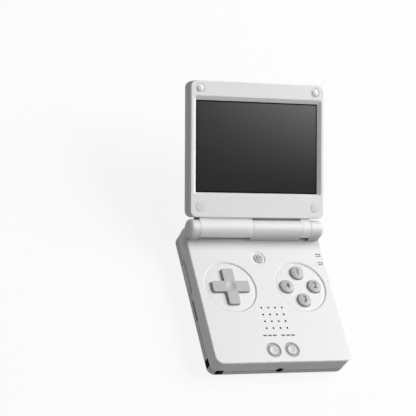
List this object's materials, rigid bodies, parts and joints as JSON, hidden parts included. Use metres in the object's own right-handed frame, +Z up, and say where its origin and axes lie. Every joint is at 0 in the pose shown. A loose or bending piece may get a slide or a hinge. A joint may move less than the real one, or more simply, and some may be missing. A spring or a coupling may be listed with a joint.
{
  "type": "clamshell handheld game console",
  "caption": "Folding handheld game console: screen lid on a barrel hinge, control deck with direction pad, buttons and speaker, shoulder controls and ports in the walls.",
  "frame": {"origin": "middle of the flat underside of the base", "axes": "+X to the player's right, +Y from the player to the hinge, +Z up from the table; the lid is stored open"},
  "size_m": [0.0878, 0.1594, 0.0674],
  "materials": {
    "shell": "satin pearl silver moulded plastic",
    "shell_dark": "satin silver moulded plastic",
    "button": "satin grey moulded plastic",
    "bumper": "smooth white elastomer",
    "cap": "matt black elastomer",
    "membrane": "matt grey silicone",
    "steel": "plated steel",
    "socket": "tinned stamped steel",
    "dark_plastic": "black moulded plastic",
    "board": "green solder mask on glass laminate",
    "cell": "foil pouch cell",
    "lead": "insulated wire",
    "flex": "amber polyimide ribbon",
    "glass": "dark cover glass with a printed black border",
    "panel": "liquid crystal panel in its metal frame",
    "light_pipe": "clear moulded light guide",
    "badge": "gloss black plate in a bright rim"
  },
  "bodies": {
    "base": {"base_top_shell": "shell", "base_bottom_shell": "shell_dark", "hinge_knuckles": "shell", "main_board": "board", "board_screws": "steel", "battery": "cell", "battery_lead": "lead", "speaker": "dark_plastic", "speaker_gasket": "dark_plastic", "dpad_membrane": "membrane", "face_membrane": "membrane", "small_membranes": "membrane", "audio_jack": "dark_plastic", "usb_socket": "socket", "video_socket": "socket", "card_socket_left": "socket", "card_socket_right": "socket", "shoulder_switches": "dark_plastic", "side_switches": "dark_plastic", "shoulder_pins": "steel", "shoulder_springs": "steel", "base_screws": "steel", "foot_caps": "cap", "light_pipes": "light_pipe", "hinge_pins": "steel", "hinge_cartridge": "steel", "display_flex_base": "flex"},
    "lid": {"lid_bezel": "shell", "lid_back_cover": "shell_dark", "screen_glass": "glass", "display_panel": "panel", "display_flex_lid": "flex", "lid_screws": "steel", "lid_bumpers": "bumper", "lid_screw_caps": "shell", "badge_plate": "badge", "lid_magnet": "steel", "hinge_cam": "steel"},
    "dpad_pivot": {"dpad_pivot": "membrane"},
    "dpad": {"dpad": "button"},
    "face_button_top": {"face_button_top": "button"},
    "face_button_left": {"face_button_left": "button"},
    "face_button_right": {"face_button_right": "button"},
    "face_button_bottom": {"face_button_bottom": "button"},
    "menu_button": {"menu_button": "button"},
    "select_button": {"select_button": "button"},
    "start_button": {"start_button": "button"},
    "shoulder_left": {"shoulder_left": "button"},
    "shoulder_right": {"shoulder_right": "button"},
    "trigger_left": {"trigger_left": "button"},
    "trigger_right": {"trigger_right": "button"},
    "volume_rocker": {"volume_rocker": "button"},
    "power_button": {"power_button": "button"},
    "reset_button": {"reset_button": "button"}
  },
  "joints": [
    {"name": "lid_hinge", "type": "hinge", "parent": "base", "child": "lid", "pos_m": [0, 0.0398, 0.0205], "axis": [-1, 0, 0], "range_deg": [-149, 0]},
    {"name": "dpad_tilt_up_down", "type": "hinge", "parent": "base", "child": "dpad_pivot", "pos_m": [-0.0227, 0.0039, 0.0132], "axis": [1, 0, 0], "range_deg": [-3, 3], "stiffness_Nm_per_rad": 0.2},
    {"name": "dpad_tilt_left_right", "type": "hinge", "parent": "dpad_pivot", "child": "dpad", "pos_m": [-0.0227, 0.0039, 0.0132], "axis": [0, 1, 0], "range_deg": [-3, 3], "stiffness_Nm_per_rad": 0.2},
    {"name": "face_button_top_press", "type": "slide", "parent": "base", "child": "face_button_top", "axis": [0, 0, -1], "range_m": [0, 0.001], "stiffness_N_per_m": 800},
    {"name": "face_button_left_press", "type": "slide", "parent": "base", "child": "face_button_left", "axis": [0, 0, -1], "range_m": [0, 0.001], "stiffness_N_per_m": 800},
    {"name": "face_button_right_press", "type": "slide", "parent": "base", "child": "face_button_right", "axis": [0, 0, -1], "range_m": [0, 0.001], "stiffness_N_per_m": 800},
    {"name": "face_button_bottom_press", "type": "slide", "parent": "base", "child": "face_button_bottom", "axis": [0, 0, -1], "range_m": [0, 0.001], "stiffness_N_per_m": 800},
    {"name": "menu_button_press", "type": "slide", "parent": "base", "child": "menu_button", "axis": [0, 0, -1], "range_m": [0, 0.0007], "stiffness_N_per_m": 800},
    {"name": "select_button_press", "type": "slide", "parent": "base", "child": "select_button", "axis": [0, 0, -1], "range_m": [0, 0.0007], "stiffness_N_per_m": 800},
    {"name": "start_button_press", "type": "slide", "parent": "base", "child": "start_button", "axis": [0, 0, -1], "range_m": [0, 0.0007], "stiffness_N_per_m": 800},
    {"name": "shoulder_right_swing", "type": "hinge", "parent": "base", "child": "shoulder_right", "pos_m": [0.0409, 0.0419, 0.006], "axis": [0, 0, 1], "range_deg": [0, 7], "stiffness_Nm_per_rad": 0.06},
    {"name": "shoulder_left_swing", "type": "hinge", "parent": "base", "child": "shoulder_left", "pos_m": [-0.0409, 0.0419, 0.006], "axis": [0, 0, -1], "range_deg": [0, 7], "stiffness_Nm_per_rad": 0.06},
    {"name": "trigger_right_press", "type": "slide", "parent": "base", "child": "trigger_right", "axis": [0, -1, 0], "range_m": [0, 0.0009], "stiffness_N_per_m": 800},
    {"name": "trigger_left_press", "type": "slide", "parent": "base", "child": "trigger_left", "axis": [0, -1, 0], "range_m": [0, 0.0009], "stiffness_N_per_m": 800},
    {"name": "volume_rock", "type": "hinge", "parent": "base", "child": "volume_rocker", "pos_m": [-0.0406, 0.01595, 0.0058], "axis": [0, 0, 1], "range_deg": [-2, 2], "stiffness_Nm_per_rad": 0.08},
    {"name": "power_press", "type": "slide", "parent": "base", "child": "power_button", "axis": [-1, 0, 0], "range_m": [0, 0.0004], "stiffness_N_per_m": 800},
    {"name": "reset_press", "type": "slide", "parent": "base", "child": "reset_button", "axis": [-1, 0, 0], "range_m": [0, 0.0004], "stiffness_N_per_m": 800}
  ]
}
